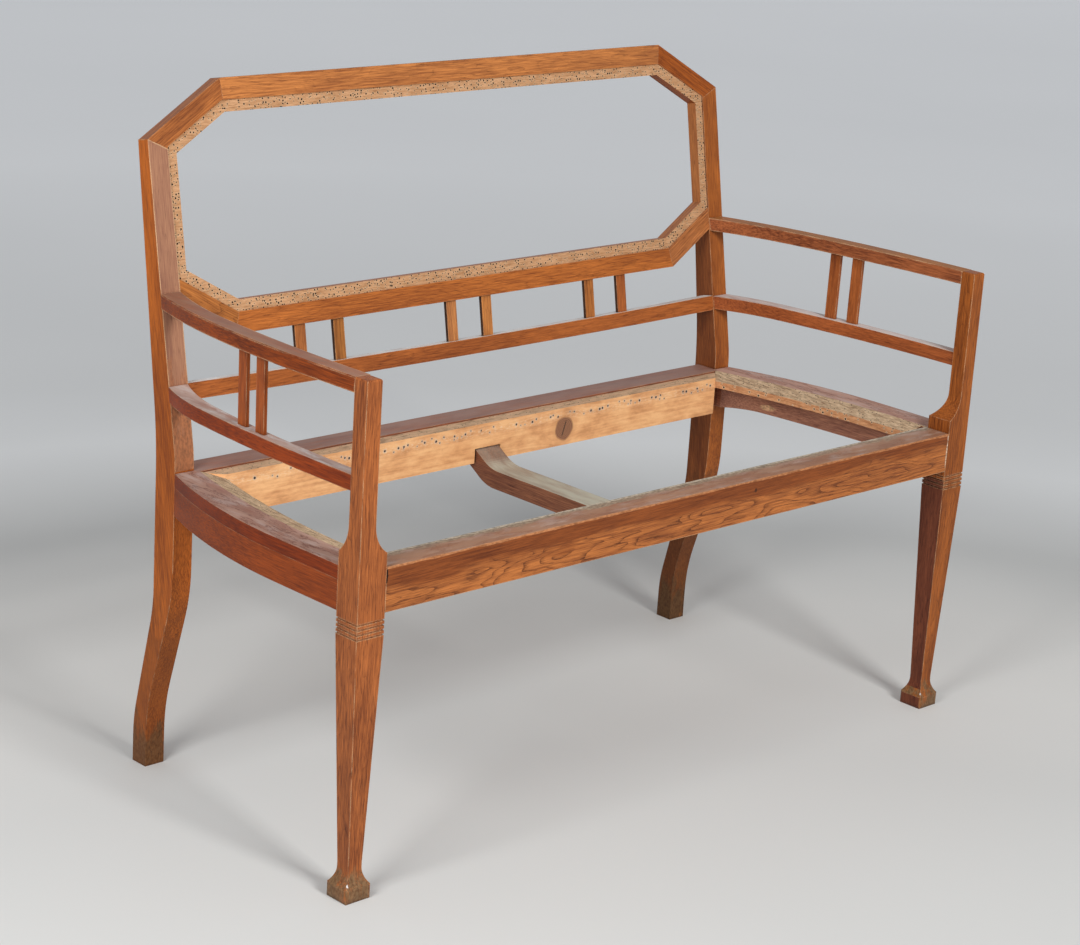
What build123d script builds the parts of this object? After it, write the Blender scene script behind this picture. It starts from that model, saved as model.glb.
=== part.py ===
from build123d import *
import os
from math import atan2, cos, degrees, radians, sin, sqrt, tan

# A two-seat settee frame with its upholstery stripped off.
# Millimetres. X runs left to right, Y from front to back, Z up from the floor.
# Y is counted from the front face of the front legs until the pieces are written.

# Width over the front legs, seat, and the rises from the seat to the arms
front_width = 1153
side_taper = 47.5
seat_height = 432
seat_depth = 435
side_rail_rise = 115.5
side_gap = 101.5

# Front legs: foot, tapered shank, grooved block and slim upper post
block_width = 42.5
block_depth = 39.5
block_drop = 30
block_rise = 19
neck_size = 23
shoulder_height = 36
ankle_size = 21.5
ankle_height = 47
flare_top = 41
flare_bottom = 18
foot_width = 41
foot_depth = 40
foot_wear = 1.5
foot_edge = 7
foot_corner = 5
groove_count = 4
groove_pitch = 6.2
groove_width = 2.2
groove_depth = 1.3
groove_rise = 2.6
post_top_radius = 3

# Back posts: swept foot, upright stretch at the seat, raked upper part
post_width = 30.5
post_seat_depth = 42
rake = 10.3
knee_rise = 20
knee_radius = 200
rear_knee_rise = 39
rear_knee_radius = 700
foot_sweep = 53
rear_foot_depth = 29.5
front_sweep_top = 261
front_sweep_bottom = 84
front_sweep_radius = 260
rear_sweep_top = 237
rear_sweep_bottom = 63
rear_sweep_radius = 215

# Eight-sided back frame, measured up the rake
back_gap = 54
opening_height = 246
corner_run = 81
corner_rise = 47.5
rail_face = 29
upper_corner_width = 41
lower_corner_width = 44
ledge_width = 15.5
ledge_recess = 2
frame_thickness = 19.5

# Middle back rail and the slats between it and the frame
mid_rail_step = 1
mid_rail_depth = 22.4
mid_rail_sag = 4
slat_width = 18.5
slat_thickness = 5
slat_setback = 4.5
slat_pitch = 66.8
slat_pair_share = 0.5452
pair_steps = (-1, 0, 1)

# Arms and the middle rails below them, which fall a little towards the back
arm_thickness = 19
arm_arris = 1.2
arm_fall = 3.5
arm_straight = 100
arm_inner_straight = 40
arm_waist_lead = 110
arm_waist_inset = 15
arm_inner_waist_inset = 40
side_rail_fall = 2
side_rail_depth = 20
side_rail_width = 18
side_rail_setback = 4
side_rail_straight = 60
side_rail_waist_lead = 85
side_rail_waist_inset = 20.5
side_rail_inner_waist_inset = 43.5
side_slat_centre_y = 239.6
side_slat_pitch = 40
side_slat_turn = 5.5

# Straight seat rails
rail_depth = 57
front_rail_thickness = 52
front_rail_arris = 2
front_ledge_run = 8
front_ledge_drop = 4
back_rail_lead = 7
back_rail_thickness = 42.5

# Seat boards on the curved side rails
seat_straight = 160
seat_board_thickness = 18
seat_board_width = 69.5
seat_board_inner_straight = 100
seat_board_turn = 38
board_bevel_run = 30
board_bevel_drop = 7.7
curved_rail_thickness = 29
curved_rail_straight = 100
curved_rail_waist_lead = 75
curved_rail_waist_inset = 45.5
curved_rail_heel = 17

# Inner back rail and the dished brace
inner_rail_thickness = 23
inner_rail_drop = 2.5
mitre_gap = 0.3
brace_centre_x = -3
brace_width = 44
brace_thickness = 26.7
brace_drop = 3
brace_end_rise = 33.5
brace_end_run = 55
brace_heel_rise = 29
brace_heel_run = 47
brace_radius = 60
notch_gap = 2.5

# Joints
fit = 0.2
tenon_thickness = 9
tenon_setback = 8
side_tenon_inset = 8
long_tenon = 20
joint_wall = 2
short_tenon = 14
stub_tenon = 8
rail_shoulder = 8
small_shoulder = 4
slat_shoulder = 2
slat_stub_inset = 0.5
dowel_diameter = 8
dowel_length = 36
dowel_in_board = 12
dowel_in_corner = 14
dowel_in_inner_rail = 14
dowel_end_gap = 0.8
side_dowel_edge = 9
board_dowel_edge = 15
board_dowel_first = 130
board_dowel_last = 105
board_dowel_count = 2
inner_rail_dowel_edge = 64
inner_rail_dowel_count = 4
overrun = 30

# Places that follow from the sizes above
front_half = front_width / 2
back_half = front_half - side_taper
post_inner = back_half - post_width
block_inner = front_half - block_width
neck_inner = front_half - neck_size
neck_axis = front_half - neck_size / 2
seat_bottom = seat_height - rail_depth
block_bottom = seat_bottom - block_drop
block_top = seat_height + block_rise
knee_height = seat_height + knee_rise
rear_knee_height = seat_height + rear_knee_rise
side_rail_height = seat_height + side_rail_rise
arm_height = side_rail_height + side_gap + arm_thickness
curved_rail_top = seat_height - seat_board_thickness
back_rail_front = seat_depth - back_rail_lead
back_rail_rear = back_rail_front + back_rail_thickness
inner_rail_front = back_rail_front - inner_rail_thickness
seat_board_inner_x = front_half - seat_board_width
seat_board_mitre_x = seat_board_inner_x - seat_board_turn
brace_top = seat_bottom - brace_drop
rear_tenon_x = back_half - side_tenon_inset
block_tenon = block_width - (curved_rail_thickness + tenon_thickness) / 2 - joint_wall
post_tenon = post_width - side_tenon_inset - tenon_thickness / 2 - joint_wall
rake_angle = radians(rake)
rail_width = rail_face + ledge_width
mid_rail_top_v = (side_rail_height - mid_rail_step - knee_height) / cos(rake_angle)
mid_rail_bottom_v = mid_rail_top_v - mid_rail_depth
frame_bottom = mid_rail_top_v + back_gap
opening_half = back_half - rail_width
opening_bottom = frame_bottom + rail_width
opening_top = opening_bottom + opening_height
opening_side_top = opening_top - corner_rise
opening_side_bottom = opening_bottom + corner_rise
opening_corner = opening_half - corner_run
frame_top = opening_top + rail_width
corner_angle = atan2(corner_rise, corner_run)

# The raked plane of the back: X across, Y up the rake, Z out of the front face
back_plane = Plane(
    origin=(0, seat_depth, knee_height),
    x_dir=(1, 0, 0),
    z_dir=(0, -cos(rake_angle), sin(rake_angle)),
)
overall_depth = seat_depth + frame_top * sin(rake_angle) + frame_thickness * cos(rake_angle)


def post_face(height):
    return seat_depth + (height - knee_height) * tan(rake_angle)


def block(x0, x1, y0, y1, z0, z1, grow=0):
    centre = Pos((x0 + x1) / 2, (y0 + y1) / 2, (z0 + z1) / 2)
    return centre * Box(x1 - x0 + 2 * grow, y1 - y0 + 2 * grow, z1 - z0 + 2 * grow)


# The depths of a raked block are counted backwards from the raked plane
def raked_block(x0, x1, v0, v1, depth0, depth1, grow=0):
    return back_plane * block(x0, x1, v0, v1, -depth1, -depth0, grow)


def raked_face(face, depth, setback=0):
    return back_plane * Pos(0, 0, -setback - depth) * extrude(face, depth)


def raked_board(points, depth, setback=0):
    return raked_face(make_face(Polyline(*points, close=True)), depth, setback)


def plan_board(edges, bottom, height):
    return Pos(0, 0, bottom) * extrude(make_face(edges), height)


def side_profile(edges, x0, x1):
    return Pos(x0, 0, 0) * extrude(Plane.YZ * make_face(edges), x1 - x0)


def other_side(piece):
    return mirror(piece, about=Plane.YZ)


# A plan edge that runs straight back from the start and then turns in along one arc
def turned_in(x, y, straight, end_x, end_y):
    return Line((x, y), (x, straight)) + TangentArc((x, straight), (end_x, end_y), tangent=(0, 1))


# How far in such an edge has come at some y
def turned_in_x(x, straight, end_x, end_y, y):
    radius = ((end_y - straight) ** 2 + (x - end_x) ** 2) / (2 * (x - end_x))
    return x - radius + sqrt(radius**2 - max(y - straight, 0) ** 2)


# Where the outer edge of a corner piece of some width meets a rail and an upright
def corner_on_rail(width, beside):
    return opening_corner + (width - beside * cos(corner_angle)) / sin(corner_angle)


def corner_on_side(width, side_x):
    return (width - (side_x - opening_half) * sin(corner_angle)) / cos(corner_angle)


upper_outer_x = corner_on_rail(upper_corner_width, rail_width)
lower_outer_x = corner_on_rail(lower_corner_width, rail_width)
ledge_corner_x = corner_on_rail(ledge_width, ledge_width)
post_head = opening_side_top + corner_on_side(upper_corner_width, back_half)
corner_heel = opening_side_bottom - corner_on_side(lower_corner_width, post_inner)
ledge_side_rise = corner_on_side(ledge_width, post_inner)
mitre_slope = (post_head - opening_side_top) / (back_half - opening_half)


def post_mitre(x):
    return opening_side_top + (x - opening_half) * mitre_slope


# Tenons, made once for the piece that has them and grown by the fit for its mortise
def side_tenon(x, y0, y1, bottom, top, shoulder, grow=0):
    return block(x - tenon_thickness / 2, x + tenon_thickness / 2, y0, y1,
                 bottom + shoulder, top - shoulder, grow)


def front_rail_tenon(grow=0):
    middle = neck_size - tenon_thickness / 2
    return block(block_inner - overrun, block_inner + block_tenon,
                 middle - tenon_thickness / 2, middle + tenon_thickness / 2,
                 seat_bottom + rail_shoulder, seat_height - rail_shoulder, grow)


def back_rail_tenon(grow=0):
    return block(post_inner - overrun, post_inner + post_tenon,
                 back_rail_rear - tenon_setback - tenon_thickness, back_rail_rear - tenon_setback,
                 seat_bottom + rail_shoulder, seat_height - rail_shoulder, grow)


def curved_rail_tenons(grow=0):
    front_x = front_half - curved_rail_thickness / 2
    front = side_tenon(front_x, block_depth - long_tenon, block_depth + overrun,
                       seat_bottom, curved_rail_top, rail_shoulder, grow)
    rear = side_tenon(rear_tenon_x, seat_depth - stub_tenon, seat_depth + short_tenon,
                      seat_bottom, curved_rail_top, rail_shoulder, grow)
    return [front, rear]


def slim_side_tenons(top, thickness, fall, grow=0):
    bottom = top - thickness
    face = post_face(bottom)
    front = side_tenon(neck_axis, neck_size - short_tenon, neck_size + stub_tenon,
                       bottom, top, small_shoulder, grow)
    rear = side_tenon(rear_tenon_x, face - stub_tenon, face + short_tenon,
                      bottom - fall, top - fall, small_shoulder, grow)
    return [front, rear]


def arm_tenons(grow=0):
    return slim_side_tenons(arm_height, arm_thickness, arm_fall, grow)


def side_rail_tenons(grow=0):
    return slim_side_tenons(side_rail_height, side_rail_depth, side_rail_fall, grow)


def side_mortises():
    return curved_rail_tenons(fit) + side_rail_tenons(fit) + arm_tenons(fit)


def mid_back_tenon(grow=0):
    return raked_block(post_inner - overrun, post_inner + post_tenon,
                       mid_rail_bottom_v + small_shoulder, mid_rail_top_v - small_shoulder,
                       (frame_thickness - tenon_thickness) / 2,
                       (frame_thickness + tenon_thickness) / 2, grow)


# The long middle rail has sagged a little between the posts
def mid_back_rail_blank():
    reach = post_inner
    edges = []
    for v in (mid_rail_bottom_v, mid_rail_top_v):
        edges.append(ThreePointArc((-reach, v), (0, v - mid_rail_sag), (reach, v)))
    for x in (-reach, reach):
        edges.append(Line((x, mid_rail_bottom_v), (x, mid_rail_top_v)))
    return raked_face(make_face(edges), frame_thickness)


# Back slats, in pairs along the middle rail
slat_places = [pair * post_inner * slat_pair_share + side * slat_pitch / 2
               for pair in pair_steps for side in (-1, 1)]


def sagged_top(x):
    return mid_rail_top_v - mid_rail_sag * (1 - (x / post_inner) ** 2)


def slat_stub(x, grow=0):
    half = slat_width / 2 - slat_shoulder
    front = slat_setback + slat_stub_inset
    return raked_block(x - half, x + half,
                       sagged_top(x) - stub_tenon, frame_bottom + stub_tenon,
                       front, slat_setback + slat_thickness - slat_stub_inset, grow)


def back_slat(x):
    half = slat_width / 2
    body = raked_block(x - half, x + half, mid_rail_bottom_v, frame_bottom,
                       slat_setback, slat_setback + slat_thickness)
    return body - mid_back_rail_blank() + slat_stub(x)


# The arms and middle side rails, before their joints are cut
arm_end_y = post_face(arm_height)
side_rail_end_y = post_face(side_rail_height)
side_rail_x = front_half - side_rail_setback
side_rail_inner_x = side_rail_x - side_rail_width
arm_waist_y = seat_depth - arm_waist_lead
arm_waist_x = front_half - arm_waist_inset
arm_inner_waist_x = front_half - arm_inner_waist_inset
side_rail_waist_y = seat_depth - side_rail_waist_lead
side_rail_waist_x = front_half - side_rail_waist_inset
side_rail_inner_waist_x = front_half - side_rail_inner_waist_inset


def waisted_edge(x, straight, waist, end):
    first = turned_in(x, neck_size, straight, *waist)
    return first + TangentArc(waist, end, tangent=first.edges()[-1] % 1)


def slim_side_blank(outer, inner, end_y, top, thickness, fall):
    past = end_y + overrun
    front = Line(outer @ 0, inner @ 0)
    rear = (Line((back_half, end_y), (back_half, past))
            + Line((back_half, past), (post_inner, past))
            + Line((post_inner, past), (post_inner, end_y)))
    board = plan_board(outer + inner + front + rear, 0, arm_height)
    drop = fall * (past - neck_size) / (end_y - neck_size)
    slab = Polyline((neck_size, top), (past, top - drop), (past, top - drop - thickness),
                    (neck_size, top - thickness), close=True)
    board = board & side_profile(slab, post_inner - overrun, front_half + overrun)
    return split(board, bisect_by=back_plane, keep=Keep.TOP)


def arm_blank():
    outer = waisted_edge(front_half, arm_straight, (arm_waist_x, arm_waist_y),
                         (back_half, arm_end_y))
    inner = waisted_edge(neck_inner, arm_inner_straight, (arm_inner_waist_x, arm_waist_y),
                         (post_inner, arm_end_y))
    return slim_side_blank(outer, inner, arm_end_y, arm_height, arm_thickness, arm_fall)


def mid_side_rail_blank():
    outer = waisted_edge(side_rail_x, side_rail_straight, (side_rail_waist_x, side_rail_waist_y),
                         (back_half, side_rail_end_y))
    inner = waisted_edge(side_rail_inner_x, side_rail_straight,
                         (side_rail_inner_waist_x, side_rail_waist_y),
                         (post_inner, side_rail_end_y))
    return slim_side_blank(outer, inner, side_rail_end_y, side_rail_height, side_rail_depth,
                           side_rail_fall)


# Side slats, which lean out with the side from the middle rail to the arm
def arm_centre(y):
    outer = turned_in_x(front_half, arm_straight, arm_waist_x, arm_waist_y, y)
    inner = turned_in_x(neck_inner, arm_inner_straight, arm_inner_waist_x, arm_waist_y, y)
    return (outer + inner) / 2


def side_rail_centre(y):
    outer = turned_in_x(side_rail_x, side_rail_straight, side_rail_waist_x,
                        side_rail_waist_y, y)
    inner = turned_in_x(side_rail_inner_x, side_rail_straight, side_rail_inner_waist_x,
                        side_rail_waist_y, y)
    return (outer + inner) / 2


def leaning_bar(y, bottom, top, trim_x, trim_y, grow=0):
    low_x = side_rail_centre(y)
    lean = (arm_centre(y) - low_x) / (arm_height - side_rail_height)
    outline = Rectangle(slat_thickness - 2 * trim_x + 2 * grow,
                        slat_width - 2 * trim_y + 2 * grow)
    ends = [Pos(low_x + (z - side_rail_height) * lean, y, z) * Rot(0, 0, side_slat_turn) * outline
            for z in (bottom - grow, top + grow)]
    return loft(ends)


def fallen(top, fall, end_y, y):
    return top - fall * (y - neck_size) / (end_y - neck_size)


def side_slat_stub(y, grow=0):
    low = fallen(side_rail_height, side_rail_fall, side_rail_end_y, y)
    high = fallen(arm_height, arm_fall, arm_end_y, y) - arm_thickness
    return leaning_bar(y, low - stub_tenon, high + stub_tenon, slat_stub_inset, slat_shoulder,
                       grow)


def side_slat(y):
    body = leaning_bar(y, side_rail_height - side_rail_depth / 2, arm_height - arm_thickness / 2,
                       0, 0)
    return body - arm_blank() - mid_side_rail_blank() + side_slat_stub(y)


side_slat_places = [side_slat_centre_y + step * side_slat_pitch / 2 for step in (-1, 1)]


# Dowels, on the right-hand half and across the middle
def raked_dowel(x, v, angle, inward, grow=0):
    length = dowel_length + (2 * dowel_end_gap if grow else 0)
    rod = Rot(0, 90, 0) * Cylinder(dowel_diameter / 2 + grow, length)
    return back_plane * Pos(x, v, -frame_thickness / 2) * Rot(0, 0, angle) * Pos(inward, 0, 0) * rod


def mitre_dowel(inner_point, outer_point, angle, grow=0):
    (x0, v0), (x1, v1) = inner_point, outer_point
    return raked_dowel((x0 + x1) / 2, (v0 + v1) / 2, angle, 0, grow)


def frame_dowels(grow=0):
    turn = degrees(corner_angle) / 2
    top = mitre_dowel((opening_corner, opening_top), (upper_outer_x, frame_top), -turn, grow)
    bottom = mitre_dowel((opening_corner, opening_bottom), (lower_outer_x, frame_bottom),
                         turn, grow)
    head_x = post_inner + side_dowel_edge
    head = raked_dowel(head_x, post_mitre(head_x), 90, dowel_in_corner - dowel_length / 2, grow)
    inward = post_tenon - dowel_length / 2
    heel_v = corner_heel + side_dowel_edge
    shoulder_v = opening_side_bottom - ledge_side_rise - side_dowel_edge
    sides = [raked_dowel(post_inner, v, 0, inward, grow) for v in (heel_v, shoulder_v)]
    return [top, bottom, head] + sides


def board_dowels(grow=0):
    length = dowel_length + (2 * dowel_end_gap if grow else 0)
    middle = curved_rail_top + dowel_in_board - dowel_length / 2
    pitch = (seat_depth - board_dowel_first - board_dowel_last) / (board_dowel_count - 1)
    rods = []
    for step in range(board_dowel_count):
        y = board_dowel_first + step * pitch
        x = turned_in_x(front_half, seat_straight, back_half, seat_depth, y) - board_dowel_edge
        rods.append(Pos(x, y, middle) * Cylinder(dowel_diameter / 2 + grow, length))
    return rods


def inner_rail_dowels(grow=0):
    length = dowel_length + (2 * dowel_end_gap if grow else 0)
    middle = back_rail_front - dowel_in_inner_rail + dowel_length / 2
    height = (seat_bottom + seat_height) / 2
    last = seat_board_mitre_x - inner_rail_dowel_edge
    pitch = 2 * last / (inner_rail_dowel_count - 1)
    rod = Rot(90, 0, 0) * Cylinder(dowel_diameter / 2 + grow, length)
    return [Pos(step * pitch - last, middle, height) * rod
            for step in range(inner_rail_dowel_count)]


# Front leg: the same outline seen from the front and from the side, crossed
def leg_outline(size, foot_size):
    half = size / 2
    ankle = ankle_size / 2
    foot = foot_size / 2
    base = foot - foot_wear
    plain = (Line((base, 0), (foot, foot_edge))
             + Line((foot, foot_edge), (foot, flare_bottom))
             + TangentArc((ankle, flare_top), (foot, flare_bottom), tangent=(0, -1))
             + Line((ankle, flare_top), (ankle, ankle_height))
             + Line((ankle, ankle_height), (half, block_bottom)))
    waisted = mirror(plain, about=Plane.YZ)
    inner_neck = half - neck_size
    shoulder = (Line((-half, block_bottom), (-half, block_top))
                + TangentArc((inner_neck, block_top + shoulder_height), (-half, block_top),
                             tangent=(0, -1))
                + Line((inner_neck, block_top + shoulder_height), (inner_neck, arm_height)))
    rest = (Line((inner_neck, arm_height), (half, arm_height))
            + Line((half, arm_height), (half, block_bottom))
            + Line((-base, 0), (base, 0)))
    return make_face(plain + waisted + shoulder + rest)


def front_leg():
    across = leg_outline(block_width, foot_width)
    along = mirror(leg_outline(block_depth, foot_depth), about=Plane.YZ)
    leg = (extrude(Plane.XZ * across, block_depth, both=True)
           & extrude(Plane.YZ * along, block_width, both=True))
    around = block(-foot_width, foot_width, -foot_depth, foot_depth, 0, ankle_height)
    leg -= around - extrude(RectangleRounded(foot_width, foot_depth, foot_corner), ankle_height)
    for step in range(groove_count):
        outside = Box(block_width + overrun, block_depth + overrun, groove_width)
        core = Box(block_width - 2 * groove_depth, block_depth - 2 * groove_depth, groove_width)
        leg -= Pos(0, 0, block_bottom + groove_rise + step * groove_pitch) * (outside - core)
    leg = Pos(front_half - block_width / 2, block_depth / 2, 0) * leg
    top_edges = leg.edges().filter_by(GeomType.LINE).group_by(Axis.Z)[-1]
    rounded = [edge for edge in top_edges if edge.center().Y < neck_size - fit]
    leg = fillet(rounded, post_top_radius)
    return leg - front_rail_tenon(fit) - side_mortises()


def back_post():
    head = post_head + overrun
    head_height = knee_height + head * cos(rake_angle)
    face_y = seat_depth + head * sin(rake_angle)
    foot_front = seat_depth + foot_sweep
    seat_rear = seat_depth + post_seat_depth
    foot_rear = foot_front + rear_foot_depth
    head_rear = face_y + frame_thickness / cos(rake_angle)
    front = FilletPolyline(
        (foot_front, 0), (foot_front, front_sweep_bottom), (seat_depth, front_sweep_top),
        (seat_depth, knee_height), (face_y, head_height),
        radius=[front_sweep_radius, front_sweep_radius, knee_radius])
    rear = FilletPolyline(
        (foot_rear, 0), (foot_rear, rear_sweep_bottom), (seat_rear, rear_sweep_top),
        (seat_rear, rear_knee_height), (head_rear, head_height),
        radius=[rear_sweep_radius, rear_sweep_radius, rear_knee_radius])
    ends = (Line((foot_front, 0), (foot_rear, 0))
            + Line((face_y, head_height), (head_rear, head_height)))
    post = side_profile(front + rear + ends, post_inner, back_half)
    low, high = post_inner - overrun, back_half + overrun
    above = raked_board(
        [(low, post_mitre(low)), (high, post_mitre(high)), (high, head + overrun),
         (low, head + overrun)], post_seat_depth + 2 * overrun, -overrun)
    post = post - above - back_rail_tenon(fit) - mid_back_tenon(fit)
    return post - side_mortises() - frame_dowels(fit)


# The eight-sided frame, with a recessed ledge round its opening
def ledge_recess_tool():
    top = opening_top + ledge_width
    bottom = opening_bottom - ledge_width
    side_top = opening_side_top + ledge_side_rise
    side_bottom = opening_side_bottom - ledge_side_rise
    right = [(ledge_corner_x, bottom), (post_inner, side_bottom),
             (post_inner, side_top), (ledge_corner_x, top)]
    left = [(-x, v) for x, v in reversed(right)]
    return raked_board(right + left, ledge_recess + overrun, -overrun)


def frame_rail(outer_x, outer_v, inner_v):
    points = [(-outer_x, outer_v), (outer_x, outer_v),
              (opening_corner, inner_v), (-opening_corner, inner_v)]
    holes = frame_dowels(fit)
    rail = raked_board(points, frame_thickness) - ledge_recess_tool()
    return rail - holes - [other_side(hole) for hole in holes]


def upper_corner():
    points = [(opening_corner, opening_top), (upper_outer_x, frame_top),
              (back_half, post_head), (opening_half, opening_side_top)]
    return raked_board(points, frame_thickness) - ledge_recess_tool() - frame_dowels(fit)


def lower_corner():
    points = [(opening_corner, opening_bottom), (lower_outer_x, frame_bottom),
              (post_inner, corner_heel), (post_inner, opening_side_bottom - ledge_side_rise),
              (opening_half, opening_side_bottom)]
    return raked_board(points, frame_thickness) - ledge_recess_tool() - frame_dowels(fit)


def ledge_strip():
    points = [(opening_half, opening_side_bottom), (post_inner, opening_side_bottom - ledge_side_rise),
              (post_inner, post_mitre(post_inner)), (opening_half, opening_side_top)]
    return raked_board(points, frame_thickness - ledge_recess, ledge_recess)


def panel_bottom_rail():
    rail = frame_rail(lower_outer_x, frame_bottom, opening_bottom)
    return rail - [slat_stub(x, fit) for x in slat_places]


def mid_back_rail():
    rail = mid_back_rail_blank()
    tenon = mid_back_tenon()
    return rail + tenon + other_side(tenon) - [slat_stub(x, fit) for x in slat_places]


def arm():
    board = arm_blank()
    edges = board.faces().sort_by(Axis.Z)[-1].edges()
    outer = [edge for edge in edges
             if edge.length > 2 * arm_thickness and edge.center().X > arm_centre(edge.center().Y)]
    board = chamfer(outer, arm_arris)
    return board + arm_tenons() - [side_slat_stub(y, fit) for y in side_slat_places]


def mid_side_rail():
    rail = mid_side_rail_blank() + side_rail_tenons()
    return rail - [side_slat_stub(y, fit) for y in side_slat_places]


# Seat rails
def front_seat_rail():
    rear = front_rail_thickness
    profile = Polyline(
        (0, seat_bottom), (0, seat_height), (rear - front_ledge_run, seat_height),
        (rear, seat_height - front_ledge_drop), (rear, seat_bottom), close=True)
    rail = side_profile(profile, -block_inner, block_inner)
    rail = fillet(rail.edges().filter_by(Axis.X).group_by(Axis.Z)[-1].sort_by(Axis.Y)[0],
                  front_rail_arris)
    tenon = front_rail_tenon()
    return rail + tenon + other_side(tenon) - brace_tenons(fit)


def back_seat_rail():
    tenon = back_rail_tenon()
    rail = block(-post_inner, post_inner, back_rail_front, back_rail_rear,
                 seat_bottom, seat_height)
    return rail + tenon + other_side(tenon) - brace_tenons(fit) - inner_rail_dowels(fit)


def curved_side_rail():
    outer = turned_in(front_half, block_depth, seat_straight, back_half, seat_depth)
    inner_x = front_half - curved_rail_thickness
    heel_y = seat_depth - curved_rail_heel
    waist = (front_half - curved_rail_waist_inset, seat_depth - curved_rail_waist_lead)
    inner = turned_in(inner_x, block_depth, curved_rail_straight, *waist)
    inner += TangentArc(waist, (post_inner, heel_y), tangent=inner.edges()[-1] % 1)
    ends = (Line((front_half, block_depth), (inner_x, block_depth))
            + Line((post_inner, heel_y), (post_inner, seat_depth))
            + Line((post_inner, seat_depth), (back_half, seat_depth)))
    rail = plan_board(outer + inner + ends, seat_bottom, curved_rail_top - seat_bottom)
    return rail + curved_rail_tenons() - board_dowels(fit)


def seat_board():
    outer = turned_in(front_half, block_depth, seat_straight, back_half, seat_depth)
    inner = turned_in(seat_board_inner_x, front_rail_thickness, seat_board_inner_straight,
                      seat_board_mitre_x, inner_rail_front)
    front = Polyline((front_half, block_depth), (block_inner, block_depth),
                     (block_inner, front_rail_thickness), (seat_board_inner_x, front_rail_thickness))
    rear = Polyline((seat_board_mitre_x, inner_rail_front),
                    (seat_board_mitre_x + inner_rail_thickness, back_rail_front),
                    (post_inner, back_rail_front), (post_inner, seat_depth),
                    (back_half, seat_depth))
    board = plan_board(outer + inner + front + rear, curved_rail_top, seat_board_thickness)
    return board - board_bevel() - board_dowels(fit)


# The worn bevel along the inner edge of a seat board, straight and then round the arc
def board_bevel():
    x = seat_board_inner_x
    slope = board_bevel_drop / board_bevel_run
    low = seat_height - board_bevel_drop
    high = seat_height + overrun
    section = make_face(Polyline(
        (x - overrun, low - slope * overrun), (x + board_bevel_run, seat_height),
        (x + board_bevel_run, high), (x - overrun, high), close=True))
    straight = seat_board_inner_straight
    run = inner_rail_front - straight
    drop = x - seat_board_mitre_x
    radius = (run**2 + drop**2) / (2 * drop)
    upright = Plane((0, straight, 0), x_dir=(1, 0, 0), z_dir=(0, -1, 0)) * section
    along = extrude(upright, straight)
    axis = Axis((x - radius, straight, 0), (0, 0, 1))
    turn = degrees(atan2(run + overrun, radius - drop))
    return [along, revolve(upright, axis, turn)]


def inner_back_rail():
    front_x = seat_board_mitre_x - mitre_gap
    rear_x = front_x + inner_rail_thickness
    outline = Polyline((-front_x, inner_rail_front), (front_x, inner_rail_front),
                       (rear_x, back_rail_front), (-rear_x, back_rail_front), close=True)
    rail = plan_board(outline, seat_bottom - inner_rail_drop, rail_depth)
    return rail - brace_notch() - inner_rail_dowels(fit)


# The brace dips below the seat between the front and back rails
def brace_chain(run, rise, level):
    front = front_rail_thickness
    rear = back_rail_front
    return FilletPolyline(
        (front, level + rise), (front + run, level), (rear - run, level), (rear, level + rise),
        radius=brace_radius)


def brace_tenons(grow=0):
    half = brace_width / 2 - small_shoulder
    top = brace_top + brace_end_rise - small_shoulder
    bottom = brace_top - brace_thickness + brace_heel_rise + small_shoulder
    x0, x1 = brace_centre_x - half, brace_centre_x + half
    front, rear = front_rail_thickness, back_rail_front
    return [block(x0, x1, front - short_tenon, front + stub_tenon, bottom, top, grow),
            block(x0, x1, rear - stub_tenon, rear + short_tenon, bottom, top, grow)]


def seat_brace():
    upper = brace_chain(brace_end_run, brace_end_rise, brace_top)
    lower = brace_chain(brace_heel_run, brace_heel_rise, brace_top - brace_thickness)
    ends = Line(upper @ 0, lower @ 0) + Line(upper @ 1, lower @ 1)
    x0 = brace_centre_x - brace_width / 2
    return side_profile(upper + lower + ends, x0, x0 + brace_width) + brace_tenons()


def brace_notch():
    slope = brace_end_rise / brace_end_run
    rear_top = brace_top + brace_end_rise + notch_gap
    front_y = inner_rail_front - overrun
    rear_y = back_rail_front + overrun
    floor = seat_bottom - inner_rail_drop - overrun
    outline = Polyline(
        (front_y, rear_top - slope * (back_rail_front - front_y)),
        (rear_y, rear_top + slope * overrun), (rear_y, floor), (front_y, floor), close=True)
    half = brace_width / 2 + notch_gap
    return side_profile(outline, brace_centre_x - half, brace_centre_x + half)


def all_dowels():
    right = frame_dowels() + board_dowels()
    return Compound(children=[Solid(rod.wrapped) for rod in
                              right + [other_side(rod) for rod in right] + inner_rail_dowels()])


pieces = {}


def add_pair(name, piece):
    pieces[name + "_right"] = piece
    pieces[name + "_left"] = other_side(piece)


add_pair("front_leg", front_leg())
add_pair("back_post", back_post())
add_pair("upper_corner", upper_corner())
add_pair("lower_corner", lower_corner())
add_pair("ledge_strip", ledge_strip())
add_pair("arm", arm())
add_pair("mid_side_rail", mid_side_rail())
add_pair("curved_side_rail", curved_side_rail())
add_pair("seat_board", seat_board())
for number, y in enumerate(side_slat_places, start=1):
    add_pair(f"side_slat_{number}", side_slat(y))
for number, x in enumerate(slat_places, start=1):
    pieces[f"back_slat_{number}"] = back_slat(x)
pieces["top_rail"] = frame_rail(upper_outer_x, frame_top, opening_top)
pieces["panel_bottom_rail"] = panel_bottom_rail()
pieces["mid_back_rail"] = mid_back_rail()
pieces["front_seat_rail"] = front_seat_rail()
pieces["back_seat_rail"] = back_seat_rail()
pieces["inner_back_rail"] = inner_back_rail()
pieces["seat_brace"] = seat_brace()
pieces["dowels"] = all_dowels()

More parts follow.
